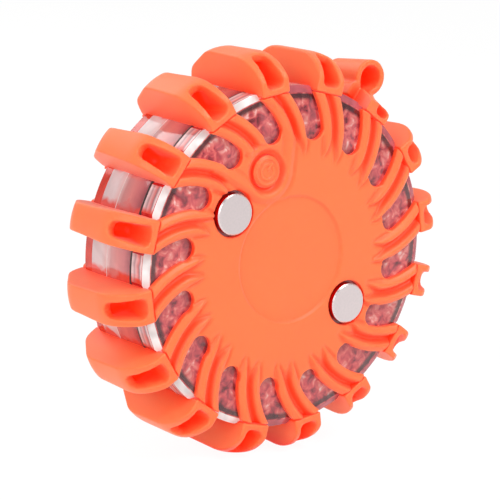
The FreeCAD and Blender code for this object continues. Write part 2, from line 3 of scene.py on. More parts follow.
import bmesh
import bpy
from mathutils import Matrix, Vector


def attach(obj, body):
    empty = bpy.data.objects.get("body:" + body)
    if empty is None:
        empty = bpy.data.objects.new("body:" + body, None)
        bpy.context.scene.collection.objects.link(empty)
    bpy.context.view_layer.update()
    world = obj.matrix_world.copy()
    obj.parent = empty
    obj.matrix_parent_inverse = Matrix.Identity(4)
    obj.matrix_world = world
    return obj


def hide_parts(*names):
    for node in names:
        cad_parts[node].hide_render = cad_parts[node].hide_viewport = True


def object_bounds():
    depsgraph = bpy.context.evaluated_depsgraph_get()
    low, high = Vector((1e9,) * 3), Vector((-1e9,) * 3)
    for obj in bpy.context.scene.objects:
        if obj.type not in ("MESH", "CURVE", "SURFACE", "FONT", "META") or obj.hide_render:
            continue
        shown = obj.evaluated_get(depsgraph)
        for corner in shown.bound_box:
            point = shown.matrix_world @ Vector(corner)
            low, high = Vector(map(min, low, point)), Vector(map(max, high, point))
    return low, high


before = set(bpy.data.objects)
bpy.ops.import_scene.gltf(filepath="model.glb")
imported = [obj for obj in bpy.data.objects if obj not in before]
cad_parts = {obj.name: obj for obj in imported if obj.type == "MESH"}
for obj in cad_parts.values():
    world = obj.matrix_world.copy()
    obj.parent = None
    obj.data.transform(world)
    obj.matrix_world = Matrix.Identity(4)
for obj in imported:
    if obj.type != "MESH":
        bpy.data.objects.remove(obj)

cad_box = [list(corner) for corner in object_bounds()]

# ---------------------------------------------------------------------------
# Camera, floor and light: a white studio sweep, big soft lights, one long lens
# ---------------------------------------------------------------------------
scene = bpy.context.scene
scene.view_settings.view_transform = "Standard"

camera_data = bpy.data.cameras.new("camera")
camera_data.sensor_width = 36.0
camera_data.lens = 144.5
camera_data.clip_start = 0.01
camera = bpy.data.objects.new("camera", camera_data)
camera_place = Vector((-0.31739, -0.39522, 0.09975))
camera_right = Vector((0.79808, -0.59960, 0.05954))
camera_up = Vector((0.06749, 0.18714, 0.98001))
camera_back = camera_right.cross(camera_up)
camera.matrix_world = Matrix((
    (camera_right.x, camera_up.x, camera_back.x, camera_place.x),
    (camera_right.y, camera_up.y, camera_back.y, camera_place.y),
    (camera_right.z, camera_up.z, camera_back.z, camera_place.z),
    (0, 0, 0, 1),
))
scene.collection.objects.link(camera)
scene.camera = camera


def linear(code):
    """An sRGB hex colour as linear red, green, blue and alpha."""
    channels = [int(code[place:place + 2], 16) / 255 for place in (1, 3, 5)]
    values = [value / 12.92 if value <= 0.04045 else ((value + 0.055) / 1.055) ** 2.4 for value in channels]
    return (*values, 1.0)


def add_node(material, kind, settings=None, links=None, **attributes):
    """A node with its attributes, its socket settings and its incoming links."""
    tree = material.node_tree
    node = tree.nodes.new(kind)
    for name, value in attributes.items():
        setattr(node, name, value)
    for socket, value in (settings or {}).items():
        node.inputs[socket].default_value = value
    for socket, source in (links or {}).items():
        tree.links.new(source, node.inputs[socket])
    return node


def new_material(name):
    """An empty node material."""
    material = bpy.data.materials.new(name)
    material.use_nodes = True
    material.node_tree.nodes.clear()
    return material


def floor_material():
    """White sweep: it looks nearly paper white to the camera and in glass, and keeps a soft shadow."""
    material = new_material("white_sweep")
    path = add_node(material, "ShaderNodeLightPath")
    seen = add_node(material, "ShaderNodeMath", links={0: path.outputs["Is Camera Ray"],
                                                      1: path.outputs["Is Glossy Ray"]}, operation="MAXIMUM")
    seen = add_node(material, "ShaderNodeMath", links={0: seen.outputs[0],
                                                      1: path.outputs["Is Transmission Ray"]}, operation="MAXIMUM")
    share = add_node(material, "ShaderNodeMath", {1: 0.9}, {0: seen.outputs[0]}, operation="MULTIPLY")
    paper = add_node(material, "ShaderNodeBsdfDiffuse", {"Color": linear("#f4f3f1")})
    glow = add_node(material, "ShaderNodeEmission", {"Color": (1, 1, 1, 1), "Strength": 1.05})
    mix = add_node(material, "ShaderNodeMixShader", links={0: share.outputs[0], 1: paper.outputs[0],
                                                          2: glow.outputs[0]})
    add_node(material, "ShaderNodeOutputMaterial", links={"Surface": mix.outputs[0]})
    return material


floor_half = 3.0
floor_mesh = bmesh.new()
bmesh.ops.create_grid(floor_mesh, x_segments=2, y_segments=2, size=floor_half)
floor_level = cad_box[0][2]
bmesh.ops.translate(floor_mesh, verts=floor_mesh.verts, vec=(0, 0, floor_level))
floor_data = bpy.data.meshes.new("floor")
floor_mesh.to_mesh(floor_data)
floor_mesh.free()
floor = bpy.data.objects.new("floor", floor_data)
floor.data.materials.append(floor_material())
scene.collection.objects.link(floor)

world = bpy.data.worlds.new("studio")
scene.world = world
world.use_nodes = True
world.node_tree.nodes.clear()
sky_path = add_node(world, "ShaderNodeLightPath")
sky_fill = add_node(world, "ShaderNodeBackground", {"Color": (1, 1, 1, 1), "Strength": 0.46})
sky_white = add_node(world, "ShaderNodeBackground", {"Color": (1, 1, 1, 1), "Strength": 1.0})
sky_seen = add_node(world, "ShaderNodeMath", links={0: sky_path.outputs["Is Camera Ray"],
                                                    1: sky_path.outputs["Is Transmission Ray"]},
                    operation="MAXIMUM")
sky_mix = add_node(world, "ShaderNodeMixShader", links={0: sky_seen.outputs[0], 1: sky_fill.outputs[0],
                                                        2: sky_white.outputs[0]})
add_node(world, "ShaderNodeOutputWorld", links={"Surface": sky_mix.outputs[0]})


def soft_light(name, place, size, power, target=(0, 0.015, 0)):
    """Square soft box that looks at the flare."""
    data = bpy.data.lights.new(name, "AREA")
    data.shape = "SQUARE"
    data.size = size
    data.energy = power
    light = bpy.data.objects.new(name, data)
    light.location = place
    light.rotation_euler = (Vector(target) - Vector(place)).to_track_quat("-Z", "Y").to_euler()
    scene.collection.objects.link(light)


soft_light("key_light", (0.25, -0.75, 0.95), 0.45, 8.8)
soft_light("fill_light", (-0.95, -0.35, 0.45), 0.8, 5.4)
soft_light("back_light", (-0.2, 0.9, 0.7), 0.7, 3.0)

# ---------------------------------------------------------------------------
# Front cover: one moulding of soft orange rubber (TPE), a disc with sixteen
# swirling arms. Each arm has two round ribs with a groove between them. It is
# stretched over the clear puck and ends at the seam round its edge.
# ---------------------------------------------------------------------------
mm = 0.001
fin_count = 16
fin_pitch = 360.0 / fin_count
first_fin_angle = fin_pitch / 2
face_y = -0.6
cover_thickness = 1.5
housing_radius = 43.4
edge_chamfer_radial = 1.3
edge_chamfer_axial = 0.9
arm_width = 7.7
arm_root_radius = 27.4
swirl_lag = 11.0
swirl_power = 1.55
window_start = 31.6
window_round = 2.8
sunk_radius = 16.3
rib_offset = 1.9
rib_half_width = 1.55
rib_rise = 0.74
groove_sink = 1.1
crease_sink = 0.45
rim_narrowing = 0.45
rib_start = 26.4
magnet_hole = 6.0
magnet_pitch_radius = 23.4
magnet_angle = 146.25
button_hole = 4.3
button_pitch_radius = 25.2
button_angle = 112.5
valley_radius = 5.9
valley_depth = 1.15
flow_radius = 6.55
flow_join_radius = 31.0
flow_end_radius = 40.0
flow_half_width = 1.5
flow_rise = 0.6


def polar(radius, angle, y=0.0):
    """Point in millimetres at a radius and angle round the disc's axis."""
    turn = math.radians(angle)
    return Vector((radius * math.cos(turn), y, radius * math.sin(turn)))


def swirl(radius):
    """Angle by which an arm trails its fin at a radius."""
    share = max(0.0, (radius - arm_root_radius) / (housing_radius - arm_root_radius))
    return swirl_lag * (share ** swirl_power - 1)


def swirl_slant(radius):
    """Cosine of the angle between an arm and the radius that it crosses."""
    step = 0.01
    turn = math.radians(swirl(radius + step) - swirl(radius - step)) / (2 * step)
    return 1 / math.hypot(1, radius * turn)


def across_arm(radius, offset):
    """Angle at a radius of a line that runs at an offset beside an arm's middle."""
    return swirl(radius) + math.degrees(offset / (radius * swirl_slant(radius)))


def ease(value):
    """Smooth step from 0 to 1."""
    value = min(1.0, max(0.0, value))
    return value * value * (3 - 2 * value)


def hump(value):
    """Round hump: 1 at 0, falling smoothly to 0 at 1."""
    value = min(1.0, abs(value))
    return 0.5 + 0.5 * math.cos(math.pi * value)


def arm_half(radius):
    """Half of an arm's width, which narrows a little past the windows' inner ends."""
    return arm_width / 2 - rim_narrowing * ease((radius - 31.0) / 3.0)


def cover_outline(rim):
    """Corners of the disc with its sixteen windows, in order round the edge."""
    corners = []
    near = window_start + window_round
    for index in range(fin_count):
        angle = first_fin_angle + index * fin_pitch
        left = angle - fin_pitch
        start = polar(near, left + across_arm(near, arm_half(near)))
        end = polar(near, angle + across_arm(near, -arm_half(near)))
        middle = (start + end) / 2
        half = (end - start).length / 2
        outwards = middle.normalized()
        across = (end - start).normalized()
        for step in range(1, 10):
            turn = math.pi * step / 10
            corners.append(middle - across * half * math.cos(turn) - outwards * half * math.sin(turn))
        for step in range(13):
            radius = near + (rim - near) * step / 12
            corners.append(polar(radius, angle + across_arm(radius, -arm_half(radius))))
        for step in range(1, 6):
            low = across_arm(rim, -arm_half(rim))
            high = across_arm(rim, arm_half(rim))
            corners.append(polar(rim, angle + low + (high - low) * step / 6))
        for step in range(12, -1, -1):
            radius = near + (rim - near) * step / 12
            corners.append(polar(radius, angle + across_arm(radius, arm_half(radius))))
    return corners


def drawn_out(corners, way):
    """Closed bar from a flat outline and the way it is drawn out, in millimetres."""
    bar = bmesh.new()
    face = bar.faces.new([bar.verts.new(corner) for corner in corners])
    grown = bmesh.ops.extrude_face_region(bar, geom=[face])
    moved = [item for item in grown["geom"] if isinstance(item, bmesh.types.BMVert)]
    bmesh.ops.translate(bar, verts=moved, vec=way)
    bmesh.ops.recalc_face_normals(bar, faces=bar.faces)
    return bar


def plate_from(corners, low, high):
    """Flat plate of one thickness from its outline, in millimetres."""
    return drawn_out([corner + Vector((0, low, 0)) for corner in corners], (0, high - low, 0))


def to_object(mesh, name, scale=mm):
    """A new object at the origin from a bmesh in millimetres."""
    bmesh.ops.scale(mesh, vec=(scale, scale, scale), verts=mesh.verts)
    data = bpy.data.meshes.new(name)
    mesh.to_mesh(data)
    mesh.free()
    thing = bpy.data.objects.new(name, data)
    scene.collection.objects.link(thing)
    return thing


def bake_modifiers(thing):
    """Applies a piece's modifiers to its mesh."""
    bpy.context.view_layer.update()
    depsgraph = bpy.context.evaluated_depsgraph_get()
    data = bpy.data.meshes.new_from_object(thing.evaluated_get(depsgraph))
    old = thing.data
    thing.modifiers.clear()
    thing.data = data
    bpy.data.meshes.remove(old)


def cut_away(thing, cutter):
    """Cuts one closed mesh out of another and deletes the cutter."""
    step = thing.modifiers.new("cut", "BOOLEAN")
    step.operation = "DIFFERENCE"
    step.solver = "EXACT"
    step.object = cutter
    bake_modifiers(thing)
    bpy.data.objects.remove(cutter)


def remelt(thing, voxel):
    """Rebuilds a closed mesh as even quads, which melts its pieces into one moulding."""
    step = thing.modifiers.new("remesh", "REMESH")
    step.mode = "VOXEL"
    step.voxel_size = voxel * mm
    step.adaptivity = 0.0
    bake_modifiers(thing)


def rod_mesh(radius, low, high, place=Vector((0, 0, 0)), segments=64):
    """Closed round bar along the disc's axis, in millimetres."""
    bar = bmesh.new()
    turn = Matrix.Translation((place.x, (low + high) / 2, place.z)) @ Matrix.Rotation(math.pi / 2, 4, "X")
    bmesh.ops.create_cone(bar, cap_ends=True, segments=segments, radius1=radius, radius2=radius,
                          depth=high - low, matrix=turn)
    return bar


button_place = polar(button_pitch_radius, button_angle)
magnet_places = [polar(magnet_pitch_radius, magnet_angle), polar(magnet_pitch_radius, magnet_angle + 180)]


def arm_place(x, z):
    """Radius of a point, and its offset across the nearest arm, with that arm's number."""
    radius = math.hypot(x, z)
    angle = math.degrees(math.atan2(z, x)) - swirl(radius) - first_fin_angle
    index = round(angle / fin_pitch)
    lean = math.radians(angle - index * fin_pitch)
    return radius, lean * radius * swirl_slant(radius), index % fin_count


def distance_to_run(x, z, run):
    """Shortest distance from a point to a run of straight steps."""
    best = 1e9
    for (ax, az), (bx, bz) in zip(run, run[1:]):
        dx, dz = bx - ax, bz - az
        share = ((x - ax) * dx + (z - az) * dz) / (dx * dx + dz * dz)
        share = min(1.0, max(0.0, share))
        best = min(best, math.hypot(x - ax - share * dx, z - az - share * dz))
    return best


def flow_run():
    """Middle of the rib that leaves one arm, rounds the button and joins another arm."""
    run = []
    for step in range(9):
        radius = flow_end_radius - (flow_end_radius - flow_join_radius) * step / 8
        place = polar(radius, first_fin_angle + 6 * fin_pitch + across_arm(radius, -rib_offset))
        run.append((place.x, place.z))
    for step in range(15):
        bearing = button_angle + 180 - 70 + 140 * step / 14
        place = button_place + polar(flow_radius, bearing)
        run.append((place.x, place.z))
    for step in range(9):
        radius = flow_join_radius + (flow_end_radius - flow_join_radius) * step / 8
        place = polar(radius, first_fin_angle + 4 * fin_pitch + across_arm(radius, rib_offset))
        run.append((place.x, place.z))
    return run


button_flow = flow_run()


def rib_relief(radius, offset):
    """Height of an arm's two round ribs, each with a pointed inner end, and the deep groove between them."""
    grow = ease((radius - rib_start) / 4.0)
    width = 0.35 + (rib_half_width - 0.35) * ease((radius - rib_start) / 6.0)
    middle = 2.35 - (2.35 - rib_offset) * ease((radius - 27.0) / 7.0)
    off_rib = abs(offset) - middle
    height = rib_rise * grow * hump(off_rib / width) ** 0.75
    if off_rib > -width:
        inner = hump((off_rib + width) / 0.9)
        outer = hump((off_rib - width) / 0.7)
    else:
        inner = max(ease((radius - 29.0) / 3.0), hump((off_rib + width) / 0.9))
        outer = 0.0
    deepen = ease((radius - rib_start) / 7.0)
    crease = ease((radius - rib_start) / 2.0) * ease((33.5 - radius) / 1.5)
    return height - max(groove_sink * deepen, crease_sink * crease) * inner - crease_sink * crease * outer


def front_relief(x, z):
    """Height of the front cover's top surface above its flat face."""
    radius, offset, index = arm_place(x, z)
    height = rib_relief(radius, offset)
    off_button = math.hypot(x - button_place.x, z - button_place.z)
    if off_button < 17:
        flow = distance_to_run(x, z, button_flow)
        inside = ease((flow_radius + 1.6 - off_button) / 1.4)
        flowing = (index, offset < 0) in ((6, True), (4, False)) and radius < 36
        keep = 1 - inside
        if flowing:
            keep *= ease((radius - 31.5) / 3.0)
        height = height * keep - 0.45 * ease((flow_radius - off_button) / 1.6)
        beside = ease((flow_radius - off_button) / 0.6)
        height -= 0.35 * hump((flow - 1.9) / 1.0) * (1 - beside)
        height = max(height, flow_rise * hump(flow / flow_half_width)) if flow < flow_half_width else height
        valley = ease((valley_radius - off_button) / 1.1)
        height = height * (1 - valley) - valley_depth * valley
    sunk = ease((sunk_radius + 0.12 - radius) / 0.24)
    return height + sunk * face_y - 0.45 * hump((radius - sunk_radius - 0.15) / 0.45)


def shape_top(thing, relief, top, bottom):
    """Raises and lowers the top side of a plate by a relief, easing out towards its other side."""
    for vertex in thing.data.vertices:
        x, y, z = vertex.co.x / mm, vertex.co.y / mm, vertex.co.z / mm
        share = min(1.0, max(0.0, (bottom - y) / (bottom - top)))
        height = relief(x, z)
        vertex.co.y -= height * share * mm


def relax(thing, passes, strength=0.5):
    """Softens the edges of a moulding."""
    mesh = bmesh.new()
    mesh.from_mesh(thing.data)
    for _ in range(passes):
        bmesh.ops.smooth_vert(mesh, verts=mesh.verts, factor=strength, use_axis_x=True, use_axis_y=True,
                              use_axis_z=True)
    mesh.to_mesh(thing.data)
    mesh.free()


def thin_out(thing, ratio):
    """Takes away faces where the surface is flat."""
    step = thing.modifiers.new("decimate", "DECIMATE")
    step.ratio = ratio
    bake_modifiers(thing)


def smooth_shade(thing):
    """Shades a piece as one smooth surface."""
    for face in thing.data.polygons:
        face.use_smooth = True


cover_voxel = 0.27
cover_back = 1.3
housing_front = face_y + cover_thickness
front_cover = to_object(plate_from(cover_outline(housing_radius + 0.1), face_y, cover_back), "rubber_front_cover")
cut_away(front_cover, to_object(rod_mesh(button_hole, face_y - 2, housing_front + 2, button_place), "cutter"))
for hole_place in magnet_places:
    cut_away(front_cover, to_object(rod_mesh(magnet_hole, face_y - 2, housing_front + 2, hole_place), "cutter"))
remelt(front_cover, cover_voxel)
shape_top(front_cover, front_relief, face_y, cover_back)
relax(front_cover, 2)
thin_out(front_cover, 0.6)
smooth_shade(front_cover)


def rubber_material(name, tint, deep):
    """Moulded TPE with a little subsurface scattering; creases and hollows get a painted deeper red shade from an
    ambient-occlusion mask, and a painted red-orange glow that is strongest there.
    """
    material = new_material(name)
    place = add_node(material, "ShaderNodeTexCoord")
    grain = add_node(material, "ShaderNodeTexNoise", {"Scale": 2600.0, "Detail": 2.0},
                     {"Vector": place.outputs["Object"]})
    cloud = add_node(material, "ShaderNodeTexNoise", {"Scale": 45.0, "Detail": 3.0},
                     {"Vector": place.outputs["Object"]})
    open_area_tint = add_node(material, "ShaderNodeMix", {6: linear(tint[0]), 7: linear(tint[1])},
                     {0: cloud.outputs["Fac"]}, data_type="RGBA")
    # Painted shade: ambient occlusion mixes the colour towards the deep red in creases and hollows.
    painted_shade_mask = add_node(material, "ShaderNodeAmbientOcclusion", {"Distance": 0.005}, samples=8)
    painted_shade_share = add_node(material, "ShaderNodeMapRange", {"From Min": 0.42, "From Max": 0.97},
                      {"Value": painted_shade_mask.outputs["AO"]})
    colour = add_node(material, "ShaderNodeMix", {6: linear(deep)},
                      {0: painted_shade_share.outputs[0], 7: open_area_tint.outputs[2]}, data_type="RGBA")
    gloss = add_node(material, "ShaderNodeMapRange", {"From Min": 0.3, "From Max": 0.7, "To Min": 0.44,
                                                      "To Max": 0.54}, {"Value": cloud.outputs["Fac"]})
    bump = add_node(material, "ShaderNodeBump", {"Strength": 0.12, "Distance": 0.00012},
                    {"Height": grain.outputs["Fac"]})
    # Painted glow: a red-orange emission over all the rubber, strongest in creases and hollows, though the rubber
    # is no lamp.
    glow = add_node(material, "ShaderNodeMapRange", {"From Min": 0.1, "From Max": 0.85, "To Min": 0.3,
                                                     "To Max": 0.12}, {"Value": painted_shade_mask.outputs["AO"]})
    surface = add_node(material, "ShaderNodeBsdfPrincipled",
                       {"Emission Color": linear("#ff3c08"), "IOR": 1.5, "Subsurface Weight": 0.35,
                        "Subsurface Radius": (1.0, 0.2, 0.08), "Subsurface Scale": 0.003, "Sheen Weight": 0.25,
                        "Sheen Roughness": 0.45, "Sheen Tint": (1.0, 0.9, 0.85, 1.0)},
                       {"Base Color": colour.outputs[2], "Roughness": gloss.outputs[0],
                        "Normal": bump.outputs[0], "Emission Strength": glow.outputs[0]})
    add_node(material, "ShaderNodeOutputMaterial", links={"Surface": surface.outputs[0]})
    return material


# ff3408 is the painted shade colour of creases and hollows.
orange_rubber = rubber_material("orange_tpe_rubber", ("#f2703a", "#f5783f"), "#ff3408")
front_cover.data.materials.append(orange_rubber)
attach(front_cover, "puck")
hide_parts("front_cover")

# ---------------------------------------------------------------------------
# Fins: the rear cover wraps the puck's edge with sixteen fins of the same
# rubber. Each is a soft-edged bar with a spoon-shaped scoop in its nose, and
# the scoop runs back into a pocket under the fin's skin.
# ---------------------------------------------------------------------------
fin_root = 43.55
fin_reach = 53.6
fin_width = 8.6
fin_nose_rise = 0.65
fin_nose_length = 3.6
fin_shoulder_depth = 10.2
fin_heel_length = 7.6
fin_heel_height = 4.25
rear_face = 30.7
fin_corner_round = 2.2
fin_edge_round = 1.8
fin_crown = 0.45
scoop_width = 4.1
scoop_mouth = 5.6
scoop_depth = 7.4
scoop_floor = fin_root + 1.7
scoop_floor_round = 1.6
pocket_width = 4.0
pocket_floor = fin_root + 1.8
pocket_top = fin_reach - 2.6
pocket_rear = 9.2
fin_voxel = 0.26


def rounded(corners, size):
    """Corners of an outline with the sharp ones drawn as short curves."""
    smooth = []
    for step, here in enumerate(corners):
        here = Vector(here)
        before, after = Vector(corners[step - 1]) - here, Vector(corners[(step + 1) % len(corners)]) - here
        if before.angle(after) > math.radians(165) or here.x < fin_root + 0.01:
            smooth.append(tuple(here))
            continue
        start = here + before.normalized() * min(size, before.length * 0.45)
        end = here + after.normalized() * min(size, after.length * 0.45)
        for part in (0.0, 0.25, 0.5, 0.75, 1.0):
            point = start * (1 - part) ** 2 + here * 2 * part * (1 - part) + end * part ** 2
            smooth.append(tuple(point))
    return smooth


def side_view(reach, width):
    """Bar of a fin's side view: a curved nose, a straight back and a sloping heel."""
    nose = (fin_root + fin_nose_length, face_y - fin_nose_rise)
    shoulder = (reach, face_y + fin_shoulder_depth)
    run, fall = shoulder[0] - nose[0], shoulder[1] - nose[1]
    bend = (run * run + fall * fall) / (2 * run)
    sweep = math.asin(fall / bend)
    corners = [(fin_root, rear_face), (fin_root, nose[1])]
    for step in range(17):
        turn = sweep * (1 - step / 16)
        corners.append((reach - bend + bend * math.cos(turn), shoulder[1] - bend * math.sin(turn)))
    corners.append((reach, rear_face - fin_heel_length))
    corners.append((fin_root + fin_heel_height, rear_face))
    return drawn_out([(x, y, -width / 2) for x, y in rounded(corners, fin_corner_round)], (0, 0, width))


def bevel_outside(bar, width, segments):
    """Rounds a bar's long side edges, all but those at its root."""
    edges = [edge for edge in bar.edges
             if all(vertex.co.x > fin_root + 0.01 for vertex in edge.verts)
             and abs(edge.verts[0].co.z - edge.verts[1].co.z) < 0.01]
    bmesh.ops.bevel(bar, geom=edges, offset=width, offset_type="OFFSET", segments=segments, profile=0.5,
                    affect="EDGES", material=-1, clamp_overlap=True)
    bmesh.ops.recalc_face_normals(bar, faces=bar.faces)


def slot_mesh(mouth, width, low_x, high_x, high_y, round_floor):
    """Cutter for a spoon-shaped scoop: wide at the nose, round at its rear end, with a round floor."""
    half = width / 2
    corners = [(face_y - 1.2, mouth / 2), (face_y - 1.2, -mouth / 2)]
    for step in range(17):
        turn = -math.pi / 2 + math.pi * step / 16
        corners.append((high_y - half + half * math.cos(turn), half * math.sin(turn)))
    slot = drawn_out([(low_x, y, z) for y, z in corners], (high_x - low_x, 0, 0))
    floor_edges = [edge for edge in slot.edges if max(vertex.co.x for vertex in edge.verts) < low_x + 0.01
                   and max(vertex.co.y for vertex in edge.verts) > face_y - 1.1]
    bmesh.ops.bevel(slot, geom=floor_edges, offset=round_floor, offset_type="OFFSET", segments=4, profile=0.5,
                    affect="EDGES", material=-1, clamp_overlap=True)
    bmesh.ops.recalc_face_normals(slot, faces=slot.faces)
    return slot


def crown(thing, amount):
    """Makes a fin's back slightly round, and draws its sides in towards the back and the heel."""
    for vertex in thing.data.vertices:
        across = vertex.co.z / mm / (fin_width / 2)
        height = (vertex.co.x / mm - fin_root) / (fin_reach - fin_root)
        along = ease((vertex.co.y / mm - 5.0) / 18.0)
        vertex.co.x -= amount * across * across * ease(height * 1.6 - 0.6) * mm
        vertex.co.z *= (1 - 0.1 * along) * (1 - 0.06 * max(0.0, height) * (0.3 + 0.7 * along))


bar = side_view(fin_reach, fin_width)
bevel_outside(bar, fin_edge_round, 5)
plain_fin = to_object(bar, "plain_fin")
scoop = slot_mesh(scoop_mouth, scoop_width, scoop_floor, fin_reach + 5, face_y + scoop_depth, scoop_floor_round)
cut_away(plain_fin, to_object(scoop, "cutter"))
pocket = slot_mesh(pocket_width, pocket_width, pocket_floor, pocket_top, pocket_rear, scoop_floor_round)
cut_away(plain_fin, to_object(pocket, "cutter"))
remelt(plain_fin, fin_voxel)
relax(plain_fin, 6)
crown(plain_fin, fin_crown)
thin_out(plain_fin, 0.3)
smooth_shade(plain_fin)


def copies_round(source, name, indices):
    """One mesh of turned copies of a fin."""
    mesh = bmesh.new()
    for index in indices:
        before = len(mesh.verts)
        mesh.from_mesh(source.data)
        mesh.verts.ensure_lookup_table()
        turn = Matrix.Rotation(-math.radians(first_fin_angle + index * fin_pitch), 4, "Y")
        bmesh.ops.transform(mesh, matrix=turn, verts=mesh.verts[before:])
    return to_object(mesh, name, 1.0)


eyelet_fin_index = 2
rear_fins = copies_round(plain_fin, "rubber_fins", [i for i in range(fin_count) if i != eyelet_fin_index])
bpy.data.objects.remove(plain_fin)
smooth_shade(rear_fins)
rear_fins.data.materials.append(orange_rubber)
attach(rear_fins, "puck")
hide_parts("rear_fins")

# ---------------------------------------------------------------------------
# Eyelet fin: one fin is lower and carries a hanging eyelet, a drop-shaped tube
# along the flare's axis. Its nose is a narrow web with a small scoop beside it,
# and behind the tube the rubber swells into a hump.
# ---------------------------------------------------------------------------
eyelet_centre = 54.5
eyelet_bore = 3.2
eyelet_wall = 1.7
eyelet_front = 8.6
eyelet_back = 22.4
eyelet_nose_reach = 50.0
saddle_reach = 50.5
hump_reach = 53.2
neck_root = fin_root + 4.5
neck_half = 3.1


def prism(corners, low, high):
    """Bar along the flare's axis from the corners of its section."""
    return drawn_out([(x, low, z) for x, z in corners], (0, high - low, 0))


def drop_section(radius, tip_x, tip_half):
    """Section of the eyelet: most of a circle, drawn down to a neck."""
    corners = []
    for step in range(33):
        turn = math.radians(-128 + 256 * step / 32)
        corners.append((eyelet_centre + radius * math.cos(turn), radius * math.sin(turn)))
    return corners + [(tip_x, tip_half), (tip_x, -tip_half)]


def low_side_view(width):
    """Bar of the low fin's side view: sloping nose, saddle under the eyelet, hump and heel."""
    corners = [(fin_root, rear_face), (fin_root, face_y - fin_nose_rise), (fin_root + 3.4, face_y - fin_nose_rise),
               (fin_root + 4.4, 0.6), (eyelet_nose_reach, 6.4), (eyelet_nose_reach + 1.4, eyelet_front),
               (saddle_reach, eyelet_front + 1), (saddle_reach, 19.0), (52.2, 21.5), (hump_reach, 24.0),
               (52.8, 26.0), (51.0, 28.2),
               (fin_root + fin_heel_height, rear_face)]
    return drawn_out([(x, y, -width / 2) for x, y in corners], (0, 0, width))


def join_in(thing, other):
    """Adds one closed mesh to another; the remesh that follows melts them together."""
    step = thing.modifiers.new("join", "BOOLEAN")
    step.operation = "UNION"
    step.solver = "EXACT"
    step.object = other
    bake_modifiers(thing)
    bpy.data.objects.remove(other)


low_bar = low_side_view(fin_width)
bevel_outside(low_bar, 1.2, 3)
eyelet_fin = to_object(low_bar, "rubber_eyelet_fin")
tube = prism(drop_section(eyelet_bore + eyelet_wall, neck_root, neck_half), eyelet_front, eyelet_back)
for vertex in tube.verts:
    if vertex.co.y > eyelet_back - 0.01:
        vertex.co.z *= 0.86
        vertex.co.x = eyelet_centre + (vertex.co.x - eyelet_centre) * 0.8 - 0.3
join_in(eyelet_fin, to_object(tube, "tube"))
cut_away(eyelet_fin, to_object(prism(drop_section(eyelet_bore, eyelet_centre - 4.6, 1.1), 5.0, 21.0), "cutter"))
side_scoop = slot_mesh(4.2, 3.4, fin_root + 1.2, fin_reach - 1.0, 5.0, 1.2)
bmesh.ops.translate(side_scoop, verts=side_scoop.verts, vec=(0, 0, -1.4))
cut_away(eyelet_fin, to_object(side_scoop, "cutter"))
# Two wedges narrow the nose to a web on one side, and free its foot behind.
for reach, corners in ((52.4, [(-3.0, 6.0), (-1.4, 3.9), (4.0, 2.2), (8.4, 1.4), (8.4, 6.0)]),
                       (46.6, [(8.0, 6.0), (8.0, 1.6), (12.0, 2.2), (13.5, 6.0)])):
    wedge = drawn_out([(fin_root - 1.0, y, z) for y, z in corners], (reach - fin_root + 1.0, 0, 0))
    cut_away(eyelet_fin, to_object(wedge, "cutter"))
remelt(eyelet_fin, fin_voxel)
relax(eyelet_fin, 5)
thin_out(eyelet_fin, 0.5)
eyelet_turn = Matrix.Rotation(-math.radians(first_fin_angle + eyelet_fin_index * fin_pitch), 4, "Y")
eyelet_fin.data.transform(eyelet_turn)
smooth_shade(eyelet_fin)
eyelet_fin.data.materials.append(orange_rubber)
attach(eyelet_fin, "puck")
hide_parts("eyelet_fin")

# ---------------------------------------------------------------------------
# Rear cover: the back of the same moulding, a disc with the same swirling arms
# round a large opening for the white work light's window.
# ---------------------------------------------------------------------------
rear_thickness = 1.8
housing_back = rear_face - rear_thickness
rear_opening = 15.8
rear_rise_limit = 0.66


def rear_relief(x, z):
    """Height of the rear cover's outer surface above its flat back."""
    radius, offset, _ = arm_place(x, z)
    lip = 0.35 * hump((radius - rear_opening - 1.2) / 1.1)
    return min(rib_relief(radius, offset) + lip, rear_rise_limit)


rear_plate = to_object(plate_from(cover_outline(fin_root), housing_back, rear_face), "rubber_rear_cover")
cut_away(rear_plate, to_object(rod_mesh(rear_opening, housing_back - 2, rear_face + 2, segments=96), "cutter"))
remelt(rear_plate, 0.33)
for vertex in rear_plate.data.vertices:
    x, y, z = vertex.co.x / mm, vertex.co.y / mm, vertex.co.z / mm
    share = min(1.0, max(0.0, (y - housing_back) / rear_thickness))
    vertex.co.y += rear_relief(x, z) * share * mm
    past = math.hypot(x, z) - (housing_radius - edge_chamfer_radial)
    if past > 0:
        vertex.co.y -= edge_chamfer_axial / edge_chamfer_radial * past * (1 - share) * mm
relax(rear_plate, 2)
thin_out(rear_plate, 0.7)
smooth_shade(rear_plate)
rear_plate.data.materials.append(orange_rubber)
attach(rear_plate, "puck")
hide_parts("rear_cover")

# ---------------------------------------------------------------------------
# Power button: a soft round pad of the same rubber, shallowly dished, with a
# raised generic power symbol. It goes down 0.8 mm when it is pressed.
# ---------------------------------------------------------------------------
button_radius = 4.17
button_front = -0.8
symbol_radius = 1.95
symbol_half = 0.3
symbol_lean = math.radians(60)


def button_relief(x, z):
    """Height of the pad's top: a round shoulder, a dish, and the symbol in it."""
    radius = math.hypot(x, z)
    shoulder = -0.55 * ease((radius - button_radius + 0.9) / 0.9)
    dish = -0.3 * ease((3.35 - radius) / 0.5)
    angle = math.atan2(z, x) - symbol_lean
    along = radius * math.cos(angle)
    beside = abs(radius * math.sin(angle))
    ring = abs(radius - symbol_radius)
    if along > 0:
        ring = max(ring, 0.75 - beside)
    bar = math.hypot(beside, max(0.0, 0.5 - along, along - 2.45))
    symbol = 0.28 * (1 - ease((min(ring, bar) - symbol_half * 0.55) / 0.3))
    return shoulder + dish + symbol


